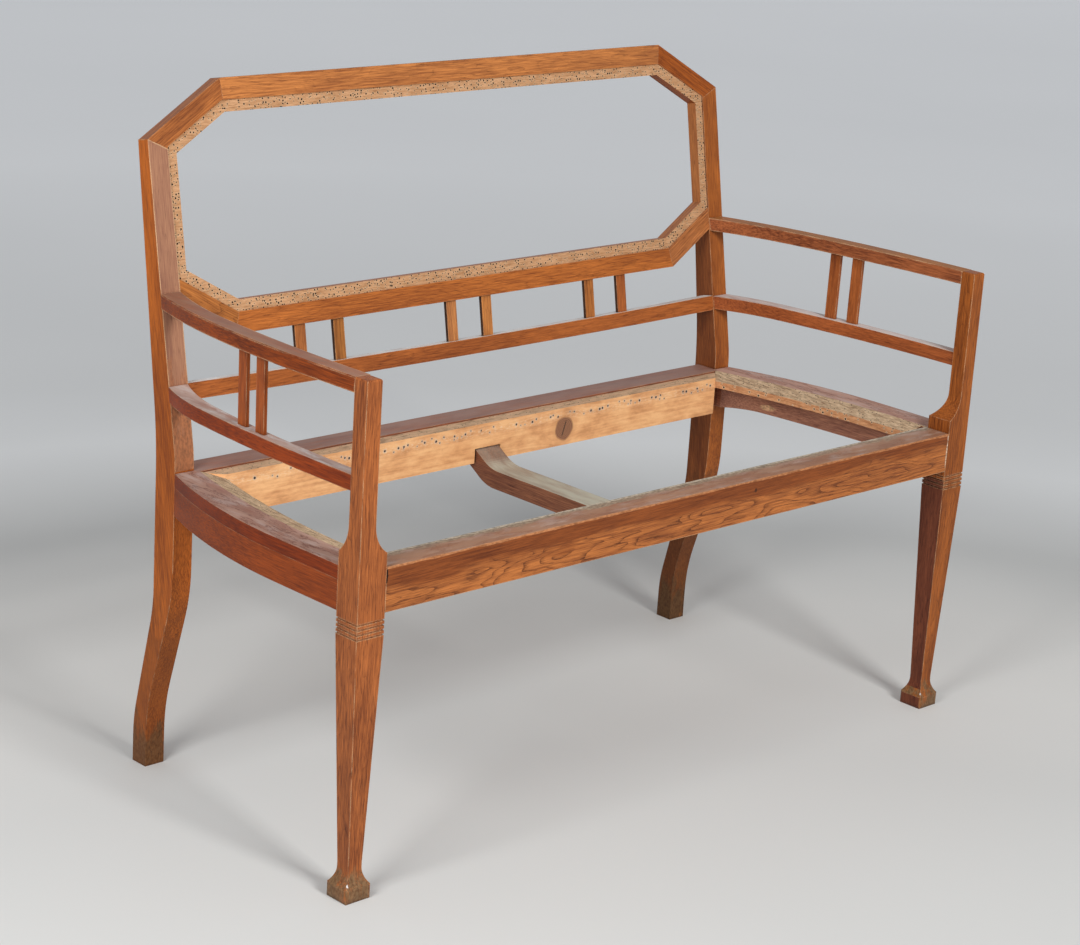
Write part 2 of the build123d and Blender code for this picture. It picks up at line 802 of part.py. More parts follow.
# The finished frame stands with the middle of its depth over the origin
os.makedirs("parts", exist_ok=True)
for name, piece in pieces.items():
    export_step(Pos(0, -overall_depth / 2, 0) * piece, f"parts/{name}.step")
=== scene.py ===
import math
import random
from functools import partial

import bmesh
import bpy
from mathutils import Matrix, Vector


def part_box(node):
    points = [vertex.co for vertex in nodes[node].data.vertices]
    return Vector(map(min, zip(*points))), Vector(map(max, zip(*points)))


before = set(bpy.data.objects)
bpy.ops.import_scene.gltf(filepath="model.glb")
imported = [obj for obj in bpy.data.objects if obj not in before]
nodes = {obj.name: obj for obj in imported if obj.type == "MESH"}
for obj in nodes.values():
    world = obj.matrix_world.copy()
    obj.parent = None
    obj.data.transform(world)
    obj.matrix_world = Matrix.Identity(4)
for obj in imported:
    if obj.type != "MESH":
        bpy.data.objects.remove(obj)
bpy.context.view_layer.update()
print("frame loaded,", len(nodes), "nodes")

mm = 0.001
rake = math.radians(10.3)      # the back leans this far
upRake = Vector((0, math.sin(rake), math.cos(rake)))
rakeFront = Vector((0, -math.cos(rake), math.sin(rake)))
acrossWay, backWay, upWay = Vector((1, 0, 0)), Vector((0, 1, 0)), Vector((0, 0, 1))
sides = (("left", -1), ("right", 1))


def linear(hexText, amount=1.0, yellower=1.0):
    # sRGB hex to the linear values that the shaders work in, made lighter or darker by the amount
    # and yellower or redder
    parts = [int(hexText[i:i + 2], 16) / 255 for i in (0, 2, 4)]
    red, green, blue = [amount * (part / 12.92 if part <= 0.04045 else ((part + 0.055) / 1.055) ** 2.4)
                        for part in parts]
    return [min(red, 1), min(green * yellower, 1), min(blue, 1), 1.0]


def perMetre(sizesMm):
    # how often a pattern of these sizes repeats in a metre
    return [1 / (size * mm) for size in sizesMm]


def addNode(tree, kind, *values, stops=(), named=None, **settings):
    # one shader node with its settings: values go into its inputs in order or by name,
    # numbers are set, and nodes and sockets are linked
    node = tree.nodes.new("ShaderNode" + kind)
    for setting, value in settings.items():
        setattr(node, setting, value)
    for index, (position, colour) in enumerate(stops):
        # a ramp's first and last stop come first, then those between
        element = node.color_ramp.elements[index] if index < 2 else node.color_ramp.elements.new(position)
        element.color = colour
        element.position = position
    inUse = [socket for socket in node.inputs if socket.enabled]
    pairs = list(zip(inUse, values)) + [(node.inputs[key], value) for key, value in (named or {}).items()]
    for socket, value in pairs:
        if isinstance(value, bpy.types.Node):
            value = next(output for output in value.outputs if output.enabled)
        if isinstance(value, bpy.types.NodeSocket):
            tree.links.new(value, socket)
        else:
            socket.default_value = value
    return node


def newMaterial(name):
    material = bpy.data.materials.new(name)
    material.use_nodes = True
    tree = material.node_tree
    return material, tree.nodes["Principled BSDF"], tree, partial(addNode, tree)


def finishShader(tree, shader, colour, roughness, bump, finish):
    for key, value in (("Base Color", colour), ("Roughness", roughness), ("Normal", bump)):
        if isinstance(value, bpy.types.Node):
            tree.links.new(next(output for output in value.outputs if output.enabled), shader.inputs[key])
        else:
            shader.inputs[key].default_value = value
    shader.inputs["IOR"].default_value = finish["ior"]
    shader.inputs["Specular IOR Level"].default_value = finish["specular"]


def grainFrame(along, through):
    # turns the object's directions so that x runs along the grain and z through the board
    along = Vector(along).normalized()
    across = Vector(through).cross(along).normalized()
    return Matrix((along, across, along.cross(across).normalized()))


def grainPlace(add, turn, centre, shift):
    # place in the piece, in metres from its middle, along, across and through the grain
    moved = turn @ centre
    return add("Mapping", add("TexCoord").outputs["Object"],
               named={"Rotation": turn.to_euler("XYZ"), "Location": Vector((shift, 0, 0)) - moved})


def middleOf(name):
    low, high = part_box(name)
    return (Vector(low) + Vector(high)) / 2


# Oak, planed, fumed dark in its pores and stained brown-orange. It shows as fine streaks and broken
# dark dashes that follow the growth rings, under a satin rubbed polish with dusty tops that also carry
# a painted sheen, painted highlights on worn arrises and painted shade in the corners.
# Pattern sizes are along, across and through the grain, and pairs are where an effect starts and is full.
oak = {
    "streakMm": (38, 1.4, 1.4),
    "streakShare": 0.68,           # the rest of the tone comes from the clouds
    "cloudMm": (150, 26, 26),
    "darkStreak": (0.44, 0.14),    # how much darker and redder than the stain
    "paleStreak": (0.42, 1.04),    # how much lighter and yellower
    "toneStops": (0.36, 0.61, 0.49),
    "ringMm": 4.0,
    "wanderMm": (300, 60, 60),     # the pith line wanders at this scale
    "wanderByMm": 75,
    "earlyWood": ((0.0, "FFFFFF"), (0.42, "000000"), (0.14, "BBBBBB"), (0.96, "000000")),
    "ringDepth": 0.60,
    "ringTone": (0.30, 0.8),       # share of the stain's light and of its yellow
    "borderMm": 8,                 # the figured part fades out over this
    "borderWaveMm": 60,
    "plainFigure": 0.15,
    "poreMm": (15, 0.8, 0.8),      # real pores are 0.3 mm wide, drawn coarser so that they show
    "poreShare": 0.355,
    "poresInRings": 0.17,
    "poreEdge": (-0.03, 0.05),
    "poreDepth": 0.35,
    "poreContrast": 0.15,
    "poreTone": (0.18, 0.75),
    # pale colour of the arrises: rubbed wear and a painted highlight along the edge
    "arrisWearAndHighlightColour": "DDB48A",
    "arrisTurn": (0.99, 0.86),     # cosine between the rounded and the flat normal
    "rubMm": (30, 6, 6),
    "rubbed": (0.42, 0.60),
    "liesFlat": (0.80, 0.97),      # how far the face looks up
    # the dust colour, which also paints the sheen of the tops
    "dustAndSheen": "A88E80",
    "dustMm": (80, 18, 18),
    "dustDrift": (0.32, 0.60),
    "thinDust": 0.45,
    "dustRoughness": 0.25,
    "smear": "D2C6C0",
    "smearMm": (45, 14, 14),
    "smeared": (0.50, 0.66),
    "tideLevel": 0.47,
    "tideWidth": (0.016, 0.004),
    "tideTone": 0.45,
    "crumbMm": (6, 3, 3),
    "markFray": (0.9, 2.2),        # how far streaks and patches move a mark's edge, in its radii
    "markEdge": (1.6, 1.2),
    "markTones": ((0.36, 0.55), (0.62, 1.35)),      # its crumbs, from dark to pale
    # painted shade in the corners
    "cornerShade": "24150E",
    "nookMm": 8,
    "nookOpen": (0.66, 0.34),
    "nookShade": 0.6,
    "softArrisMm": 1.1,
    "samples": 6,                  # rays for each rounding and corner
    "reliefMm": 0.2,
    "reliefStrength": 0.3,
    "roughness": 0.42,
    "roughnessSwing": 0.08,
    "swingOver": (0.25, 0.75),
    "specular": 0.16,
    "ior": 1.5,
}


def oakColour(add, place, stain, pith, figure, figureFrom, contrast, plainTint):
    # a noise's numbers are its scale, detail and roughness, and its middle value is 0.5
    streakPlace = add("VectorMath", place, perMetre(oak["streakMm"]), operation="MULTIPLY")
    streak = add("TexNoise", streakPlace, 1.0, 4.0, 0.62)
    cloudPlace = add("VectorMath", place, perMetre(oak["cloudMm"]), operation="MULTIPLY")
    cloud = add("TexNoise", cloudPlace, 1.0, 3.0, 0.5)
    porePlace = add("VectorMath", place, perMetre(oak["poreMm"]), operation="MULTIPLY")
    pore = add("TexNoise", porePlace, 1.0, 2.0, 0.5)
    # growth rings round a pith line that wanders, cut by the face into long arches
    wanderPlace = add("VectorMath", place, perMetre(oak["wanderMm"]), operation="MULTIPLY")
    wander = add("TexNoise", wanderPlace, 1.0, 3.0, 0.5)
    split = add("SeparateXYZ", place)
    fromPith = add("CombineXYZ", 0.0, add("Math", split.outputs[1], -pith[0] * mm, operation="ADD"),
                   add("Math", split.outputs[2], -pith[1] * mm, operation="ADD"))
    radius = add("VectorMath", fromPith, operation="LENGTH")
    wandered = add("Math", wander, oak["wanderByMm"] * mm, radius, operation="MULTIPLY_ADD")
    phase = add("Math", add("Math", wandered, oak["ringMm"] * mm, operation="DIVIDE"), operation="FRACT")
    early = add("ValToRGB", phase, stops=[(part, linear(tone)) for part, tone in oak["earlyWood"]])
    # the figured part ends at a wavy border, and the plain part is redder
    wave = oak["borderWaveMm"] * mm
    where = add("Math", add("Math", cloud, wave, split.outputs[1], operation="MULTIPLY_ADD"), 0.5 * wave,
                operation="SUBTRACT")
    plainFrom, figuredFrom = (figureFrom + oak["borderMm"]) * mm, (figureFrom - oak["borderMm"]) * mm
    shown = add("MapRange", where, plainFrom, figuredFrom, oak["plainFigure"], 1.0,
                interpolation_type="SMOOTHSTEP")
    rings = add("Math", add("Math", early, shown, operation="MULTIPLY"), figure, operation="MULTIPLY")
    tone = add("Math", add("Math", streak, oak["streakShare"], operation="MULTIPLY"),
               add("Math", cloud, 1 - oak["streakShare"], operation="MULTIPLY"), operation="ADD")
    darker, redder = oak["darkStreak"]
    paler, yellower = oak["paleStreak"]
    tones = (linear(stain, 1 - darker * contrast, 1 - redder * contrast),
             linear(stain, 1 + paler * contrast, yellower), linear(stain))
    ground = add("ValToRGB", tone, stops=list(zip(oak["toneStops"], tones)))
    plain = add("Mix", shown, linear(plainTint), linear("FFFFFF"), data_type="RGBA")
    ground = add("Mix", 1.0, ground, plain, data_type="RGBA", blend_type="MULTIPLY")
    inRings = add("Math", rings, oak["ringDepth"], operation="MULTIPLY")
    banded = add("Mix", inRings, ground, linear(stain, *oak["ringTone"]), data_type="RGBA")
    # pores crowd into the early wood of each ring and thin out between
    limit = add("Math", rings, oak["poresInRings"], oak["poreShare"], operation="MULTIPLY_ADD")
    depth = add("Math", rings, oak["poreDepth"], oak["poreDepth"] + oak["poreContrast"] * contrast,
                operation="MULTIPLY_ADD")
    pores = add("MapRange", add("Math", limit, pore, operation="SUBTRACT"), *oak["poreEdge"], 0.0, depth)
    return add("Mix", pores, banded, linear(stain, *oak["poreTone"]), data_type="RGBA"), pores, streak


def wornAndHighlitArris(add, place, radiusMm, rub):
    # the rounded normal leaves the flat one near an arris, and the polish is rubbed off there in patches;
    # the pale colour laid there is partly that wear and partly a painted highlight
    rounded = add("Bevel", radiusMm * mm, samples=oak["samples"])
    flat = add("NewGeometry").outputs["True Normal"]
    near = add("MapRange", add("VectorMath", rounded, flat, operation="DOT_PRODUCT"), *oak["arrisTurn"])
    patchPlace = add("VectorMath", place, perMetre(oak["rubMm"]), operation="MULTIPLY")
    starts, full = oak["rubbed"]
    patches = add("MapRange", add("TexNoise", patchPlace, 1.0, 5.0, 0.72), starts - rub, full - rub)
    return add("Math", near, patches, operation="MULTIPLY")


# pith is how far the board's middle lies from the heart of the tree, across and through, in mm.
# figure, dust with its painted sheen, smear, arris wear with its painted highlight and tides are
# strengths, rub spreads the wear, and figureFrom in mm is the height in the board that the figured part
# reaches up to.
def stainedOak(node, along, through, stain, pith=(0, -60), figure=0.35, figureFrom=99, dustAndSheen=0.0,
               smear=0.0, edgeWearAndHighlight=0.6, rub=0.0, tides=0.0, contrast=1.0, plainTint="FFFFFF", arrisMm=2.0,
               marks=(), dustAndSheenColour=oak["dustAndSheen"], kind="stainedOak"):
    material, shader, tree, add = newMaterial(kind + "_" + node)
    shift = random.Random(node).uniform(-9, 9)      # each piece is cut from its own board
    place = grainPlace(add, grainFrame(along, through), middleOf(node), shift)
    colour, pores, streak = oakColour(add, place, stain, pith, figure, figureFrom, contrast, plainTint)
    # dust settles on what lies flat, and the same pale layer paints the sheen of the tops, with rubbed
    # and smeared patches
    normal = add("NewGeometry").outputs["True Normal"]
    flat = add("MapRange", add("SeparateXYZ", normal).outputs[2], *oak["liesFlat"])
    dustPlace = add("VectorMath", place, perMetre(oak["dustMm"]), operation="MULTIPLY")
    drift = add("TexNoise", dustPlace, 1.0, 5.0, 0.62)
    drifted = add("MapRange", drift, *oak["dustDrift"], oak["thinDust"] * dustAndSheen, dustAndSheen)
    dustAndSheenShare = add("Math", drifted, flat, operation="MULTIPLY")
    colour = add("Mix", dustAndSheenShare, colour, linear(dustAndSheenColour), data_type="RGBA")
    smearPlace = add("VectorMath", place, perMetre(oak["smearMm"]), operation="MULTIPLY")
    patch = add("TexNoise", smearPlace, 1.0, 4.0, 0.6)
    smeared = add("Math", add("MapRange", patch, *oak["smeared"], 0.0, smear), flat, operation="MULTIPLY")
    colour = add("Mix", smeared, colour, linear(oak["smear"]), data_type="RGBA")
    if tides:       # brown edges of dried water stains
        fromEdge = add("Math", drift, oak["tideLevel"], operation="SUBTRACT")
        fromEdge = add("Math", fromEdge, operation="ABSOLUTE")
        tide = add("MapRange", fromEdge, *oak["tideWidth"], 0.0, tides)
        tide = add("Math", tide, flat, operation="MULTIPLY")
        colour = add("Mix", tide, colour, linear(stain, oak["tideTone"]), data_type="RGBA")
    # pale arrises: rubbed wear with a painted highlight along the edge
    rubbedAndLit = add("Math", wornAndHighlitArris(add, place, arrisMm, rub), edgeWearAndHighlight, operation="MULTIPLY")
    colour = add("Mix", rubbedAndLit, colour, linear(oak["arrisWearAndHighlightColour"]), data_type="RGBA")
    crumbPlace = add("VectorMath", place, perMetre(oak["crumbMm"]), operation="MULTIPLY")
    crumbs = add("TexNoise", crumbPlace, 1.0, 3.0, 0.6)
    byStreak, byPatch = oak["markFray"]
    edgeStarts, edgeFull = oak["markEdge"]
    for mark in marks:
        # a mark covers a stretched ball round a point of the object, and its edge is ragged
        radius = mark["radiusMm"] * mm
        away = add("VectorMath", add("TexCoord").outputs["Object"], mark["place"], operation="SUBTRACT")
        away = add("VectorMath", away, mark["stretch"], operation="MULTIPLY")
        far = add("VectorMath", away, operation="LENGTH")
        ragged = add("Math", streak, byStreak * radius, far, operation="MULTIPLY_ADD")
        ragged = add("Math", add("Math", patch, 0.5, operation="SUBTRACT"), byPatch * radius, ragged,
                     operation="MULTIPLY_ADD")
        inside = add("MapRange", ragged, edgeStarts * radius, edgeFull * radius, 0.0, mark["strength"])
        crumbly = add("ValToRGB", crumbs, stops=[(part, linear(mark["colour"], amount))
                                                 for part, amount in oak["markTones"]])
        colour = add("Mix", inside, colour, crumbly, data_type="RGBA")
    # painted shade: darker in the corners between the pieces, where ambient occlusion finds them
    nook = add("AmbientOcclusion", linear("FFFFFF"), oak["nookMm"] * mm, samples=oak["samples"])
    shadedNook = add("MapRange", nook.outputs["AO"], *oak["nookOpen"], 0.0, oak["nookShade"])
    colour = add("Mix", shadedNook, colour, linear(oak["cornerShade"]), data_type="RGBA")
    rough = add("MapRange", streak, *oak["swingOver"], oak["roughness"] - oak["roughnessSwing"],
                oak["roughness"] + oak["roughnessSwing"])
    rough = add("Math", dustAndSheenShare, oak["dustRoughness"], rough, operation="MULTIPLY_ADD", use_clamp=True)
    relief = add("Math", streak, pores, operation="SUBTRACT")
    soft = add("Bevel", oak["softArrisMm"] * mm, samples=oak["samples"])
    bump = add("Bump", named={"Strength": oak["reliefStrength"], "Distance": oak["reliefMm"] * mm,
                              "Height": relief, "Normal": soft})
    finishShader(tree, shader, colour, rough, bump, oak)
    return material


# Bare oak of the tacking ledges, never polished and torn by pulled tacks. It is pale, rough and
# matt, full of small dark holes with crushed pale rims.
ledge = {
    "fibreMm": (22, 1.8, 1.8),
    "blotchMm": (22, 8, 8),
    "blotchShare": 0.5,            # added to the streaks
    "toneStops": (0.55, 0.90),
    "tear": "7E5738",
    "tearMm": (6, 1.8, 1.8),
    "torn": (0.56, 0.68),
    "soiled": (0.36, 0.60),
    "thinSoil": 0.4,
    "hole": "2C180D",
    "holeDepth": 2.5,              # in the relief's own depth
    "emptyShare": 0.38,            # cells with no hole
    "frayMm": (1.4, 1.4, 1.4),
    "biggerBy": 0.35,
    "holeEdgeMm": (0.25, 0.15),
    "rim": "DCC4A2",
    "rimReach": (2.6, 1.3),        # in hole radii
    "reliefMm": 0.5,
    "reliefStrength": 0.8,
    "roughness": 0.85,
    "specular": 0.12,
    "ior": 1.5,
}


def tackHoles(add, place, pitchMm, radiusMm, row=None):
    # one hole somewhere in each cell of the surface, or only those whose middle is in a row:
    # its height and half its width in mm
    often = 1 / (pitchMm * mm)
    scaled = add("VectorMath", place, (often, often, 0), operation="MULTIPLY")
    cells = add("TexVoronoi", scaled, 1.0, voronoi_dimensions="2D")
    frayPlace = add("VectorMath", place, perMetre(ledge["frayMm"]), operation="MULTIPLY")
    frayed = add("TexNoise", frayPlace, 1.0, 2.0)
    # the distance from the middle in mm, frayed, and longer where the cell's chance makes the hole small
    away = add("Math", cells.outputs["Distance"], pitchMm, operation="MULTIPLY")
    away = add("Math", frayed, 1.0, away, operation="MULTIPLY_ADD")
    away = add("Math", away, 0.5, operation="SUBTRACT")
    away = add("Math", away, ledge["biggerBy"] * radiusMm, operation="SUBTRACT")
    chance = add("SeparateColor", cells.outputs["Color"])
    away = add("Math", chance.outputs[1], radiusMm, away, operation="MULTIPLY_ADD")
    outer, inner = ledge["holeEdgeMm"]
    rimStarts, rimFull = ledge["rimReach"]
    hole = add("MapRange", away, radiusMm + outer, radiusMm - inner)
    rim = add("MapRange", away, radiusMm * rimStarts, radiusMm * rimFull)
    used = add("Math", chance.outputs[0], ledge["emptyShare"], operation="GREATER_THAN")
    hole, rim = [add("Math", value, used, operation="MULTIPLY") for value in (hole, rim)]
    if row:
        rowHeight, halfWidth = row
        middle = add("SeparateXYZ", cells.outputs["Position"]).outputs[1]
        fromRow = add("Math", middle, rowHeight / pitchMm, operation="SUBTRACT")
        fromRow = add("Math", fromRow, operation="ABSOLUTE")
        kept = add("Math", fromRow, halfWidth / pitchMm, operation="LESS_THAN")
        hole, rim = [add("Math", value, kept, operation="MULTIPLY") for value in (hole, rim)]
    return hole, rim


def bareOak(name, along, through, pale, dark, soil=None, soiling=0.0, pitchMm=6.0, radiusMm=0.8,
            tears=0.5, tear=ledge["tear"], tearMm=ledge["tearMm"], fibreMm=ledge["fibreMm"], rimming=0.4):
    material, shader, tree, add = newMaterial("bareOak_" + name)
    place = grainPlace(add, grainFrame(along, through), Vector((0, 0, 0)), 0)
    streakPlace = add("VectorMath", place, perMetre(fibreMm), operation="MULTIPLY")
    streak = add("TexNoise", streakPlace, 1.0, 4.0, 0.65)
    blotchPlace = add("VectorMath", place, perMetre(ledge["blotchMm"]), operation="MULTIPLY")
    blotch = add("TexNoise", blotchPlace, 1.0, 4.0, 0.6)
    tearPlace = add("VectorMath", place, perMetre(tearMm), operation="MULTIPLY")
    torn = add("MapRange", add("TexNoise", tearPlace, 1.0, 4.0, 0.7), *ledge["torn"], 0.0, tears)
    tone = add("Math", blotch, ledge["blotchShare"], streak, operation="MULTIPLY_ADD")
    base = add("ValToRGB", tone, stops=list(zip(ledge["toneStops"], (linear(dark), linear(pale)))))
    if soil:
        soiled = add("MapRange", blotch, *ledge["soiled"], ledge["thinSoil"] * soiling, soiling)
        base = add("Mix", soiled, base, linear(soil), data_type="RGBA")
    base = add("Mix", torn, base, linear(tear), data_type="RGBA")
    hole, rim = tackHoles(add, place, pitchMm, radiusMm)
    rimmed = add("Math", rim, rimming, operation="MULTIPLY")
    base = add("Mix", rimmed, base, linear(ledge["rim"]), data_type="RGBA")
    base = add("Mix", hole, base, linear(ledge["hole"]), data_type="RGBA")
    sunk = add("Math", hole, ledge["holeDepth"], operation="MULTIPLY")
    relief = add("Math", add("Math", streak, torn, operation="SUBTRACT"), sunk, operation="SUBTRACT")
    bump = add("Bump", named={"Strength": ledge["reliefStrength"], "Distance": ledge["reliefMm"] * mm,
                              "Height": relief})
    finishShader(tree, shader, base, ledge["roughness"], bump, ledge)
    return material


# Pine, planed and never stained. It is pale orange-yellow with soft streaks that swirl round one dark
# cracked knot, and a row of tack holes with pale torn rims runs near its top edge.
# Pattern sizes are along the rail, through it and up it.
pine = {
    "pale": "EDB67E",
    "mid": "DDA06A",
    "dark": "C58A58",
    "toneStops": (0.38, 0.60, 0.48),
    "boardShift": 0.3,             # metres along the pattern
    "streakMm": (130, 30, 4.2),
    "streakShare": 0.4,            # the rest of the tone comes from the clouds
    "cloudMm": (35, 30, 13),
    "fleckMm": (4, 2, 1.1),
    "flecked": (0.62, 0.70),
    "fleckStrength": 0.5,
    "rowHeightMm": 417.5,
    "rowHalfMm": 5.0,
    "holePitchMm": 8.5,
    "holeRadiusMm": 1.35,
    "rim": "C2B5A4",
    "rimming": 0.6,
    "torn": "F0DABA",
    "tornMm": (6, 2, 1000),
    "tornPatches": (0.50, 0.62),
    "tornReachMm": (10, 3),
    "tornStrength": 0.4,
    "knot": "9A6A4A",
    "knotDark": "74492F",
    "heart": "2E1B12",
    "knotPlace": (0.1475, 0.1345, 0.398),
    "knotShape": (0.74, 0, 0.74),  # it runs straight through the board
    "knotRadiusMm": 14.5,
    "knotEdgeMm": (1.2, 0.8),
    "knotRingMm": 1.9,
    "knotRingStops": (0.2, 0.8),
    "haloMm": 7,
    "haloStrength": 0.55,
    "wobbleMm": (12, 12, 12),
    "wobbleByMm": 3.5,
    "partReach": 0.0006,           # square metres
    "partPush": 0.000495,
    "crackAcross": (0.95, 0, -0.30),
    "crackPitchMm": 5.2,
    "crackWidthMm": (1.0, 0.3),
    "crackReachMm": (12, 9),
    "reliefMm": 0.4,
    "reliefStrength": 0.4,
    "roughness": 0.6,
    "specular": 0.5,
    "ior": 1.5,
}


def planedPine():
    material, shader, tree, add = newMaterial("planedPine_innerBackRail")
    place = add("TexCoord").outputs["Object"]
    fromKnot = add("VectorMath", place, pine["knotPlace"], operation="SUBTRACT")
    fromKnot = add("VectorMath", fromKnot, pine["knotShape"], operation="MULTIPLY")
    wobblePlace = add("VectorMath", place, perMetre(pine["wobbleMm"]), operation="MULTIPLY")
    wobble = add("TexNoise", wobblePlace, 1.0, 2.0)
    far = add("Math", wobble, pine["wobbleByMm"] * mm, add("VectorMath", fromKnot, operation="LENGTH"),
              operation="MULTIPLY_ADD")
    # the grain parts round the knot, less with the square of the distance
    squared = add("Math", far, far, pine["partReach"], operation="MULTIPLY_ADD")
    bulge = add("Math", pine["partPush"], squared, operation="DIVIDE")
    pushed = add("Math", add("SeparateXYZ", fromKnot).outputs[2], bulge, operation="MULTIPLY")
    moved = add("CombineXYZ", pine["boardShift"], 0.0, pushed)
    parted = add("VectorMath", place, moved, operation="SUBTRACT")
    streakPlace = add("VectorMath", parted, perMetre(pine["streakMm"]), operation="MULTIPLY")
    streak = add("TexNoise", streakPlace, 1.0, 4.0, 0.6)
    cloudPlace = add("VectorMath", parted, perMetre(pine["cloudMm"]), operation="MULTIPLY")
    cloud = add("TexNoise", cloudPlace, 1.0, 4.0, 0.6)
    fleckPlace = add("VectorMath", place, perMetre(pine["fleckMm"]), operation="MULTIPLY")
    fleck = add("MapRange", add("TexNoise", fleckPlace, 1.0, 3.0, 0.6), *pine["flecked"], 0.0,
                pine["fleckStrength"])
    tone = add("Math", add("Math", streak, pine["streakShare"], operation="MULTIPLY"),
               add("Math", cloud, 1 - pine["streakShare"], operation="MULTIPLY"), operation="ADD")
    tones = [linear(pine[key]) for key in ("dark", "pale", "mid")]
    base = add("ValToRGB", tone, stops=list(zip(pine["toneStops"], tones)))
    base = add("Mix", fleck, base, linear(pine["dark"]), data_type="RGBA")
    # the row of tack holes, with torn patches near it
    split = add("SeparateXYZ", place)
    flat = add("CombineXYZ", split.outputs[0], split.outputs[2], 0.0)
    tornPlace = add("VectorMath", flat, perMetre(pine["tornMm"]), operation="MULTIPLY")
    rubbed = add("MapRange", add("TexNoise", tornPlace, 1.0, 4.0, 0.65), *pine["tornPatches"])
    off = add("Math", split.outputs[2], pine["rowHeightMm"] * mm, operation="SUBTRACT")
    off = add("Math", off, operation="ABSOLUTE")
    nearRow = add("MapRange", off, *[reach * mm for reach in pine["tornReachMm"]], 0.0,
                  pine["tornStrength"])
    torn = add("Math", rubbed, nearRow, operation="MULTIPLY")
    base = add("Mix", torn, base, linear(pine["torn"]), data_type="RGBA")
    hole, rim = tackHoles(add, flat, pine["holePitchMm"], pine["holeRadiusMm"],
                          (pine["rowHeightMm"], pine["rowHalfMm"]))
    rimmed = add("Math", rim, pine["rimming"], operation="MULTIPLY")
    base = add("Mix", rimmed, base, linear(pine["rim"]), data_type="RGBA")
    base = add("Mix", hole, base, linear(ledge["hole"]), data_type="RGBA")
    # the knot: a dark halo, rings, and cracks across its middle
    radiusMm = pine["knotRadiusMm"]
    outer, inner = pine["knotEdgeMm"]
    halo = add("MapRange", far, (radiusMm + pine["haloMm"]) * mm, radiusMm * mm, 0.0,
               pine["haloStrength"])
    base = add("Mix", halo, base, linear(pine["dark"]), data_type="RGBA")
    phase = add("Math", add("Math", far, pine["knotRingMm"] * mm, operation="DIVIDE"), operation="FRACT")
    ringTones = [linear(pine[key]) for key in ("knot", "knotDark")]
    rings = add("ValToRGB", phase, stops=list(zip(pine["knotRingStops"], ringTones)))
    inKnot = add("MapRange", far, (radiusMm + outer) * mm, (radiusMm - inner) * mm)
    base = add("Mix", inKnot, base, rings, data_type="RGBA")
    across = add("VectorMath", fromKnot, pine["crackAcross"], operation="DOT_PRODUCT")
    fromCrack = add("Math", across, pine["crackPitchMm"] * mm, operation="PINGPONG")
    crack = add("MapRange", fromCrack, *[width * mm for width in pine["crackWidthMm"]])
    within = add("MapRange", far, *[reach * mm for reach in pine["crackReachMm"]])
    crack = add("Math", crack, within, operation="MULTIPLY")
    base = add("Mix", crack, base, linear(pine["heart"]), data_type="RGBA")
    sunk = add("Math", hole, ledge["holeDepth"], operation="MULTIPLY")
    relief = add("Math", streak, sunk, operation="SUBTRACT")
    bump = add("Bump", named={"Strength": pine["reliefStrength"], "Distance": pine["reliefMm"] * mm,
                              "Height": relief})
    finishShader(tree, shader, base, pine["roughness"], bump, pine)
    return material


def dress(name, *finishes):
    # the first finish covers the piece, and each later one comes with a test for the faces that it takes
    mesh = nodes[name].data
    mesh.materials.clear()
    mesh.materials.append(finishes[0])
    for index, (material, test) in enumerate(finishes[1:], start=1):
        mesh.materials.append(material)
        for face in mesh.polygons:
            if test(face):
                face.material_index = index


def onSide(place, sign):
    # a place given for the right side, or mirrored to the left one
    return (place[0] * sign, *place[1:])


# Front legs: scuffed feet, each with a pale nick. Below the block, the right leg's face that looks
# inwards is painted darker as shade.
frontLeg = {
    "stain": {"left": "9A562C", "right": "924F20"},
    "finish": {"pith": (70, -20), "figure": 0.5, "edgeWearAndHighlight": 0.7, "rub": 0.05, "contrast": 1.2},
    # painted shade for the right leg's face that looks inwards
    "innerShade": "6A3825",
    "innerShadeFinish": {"pith": (70, -20), "figure": 0.4, "edgeWearAndHighlight": 0.6},
    "innerBelow": 0.36,
    "scuff": {"colour": "6E5C42", "stretch": (1, 1, 1.3), "radiusMm": 42, "strength": 0.75},
    "scuffPlace": (0.555, -0.25, 0.002),
    "nick": {"colour": "F0EAE2", "stretch": (1, 1, 0.11), "radiusMm": 1.5, "strength": 0.8},
    "nickPlace": {"left": (-0.5707, -0.2665, 0.028), "right": (0.539, -0.2665, 0.028)},
}

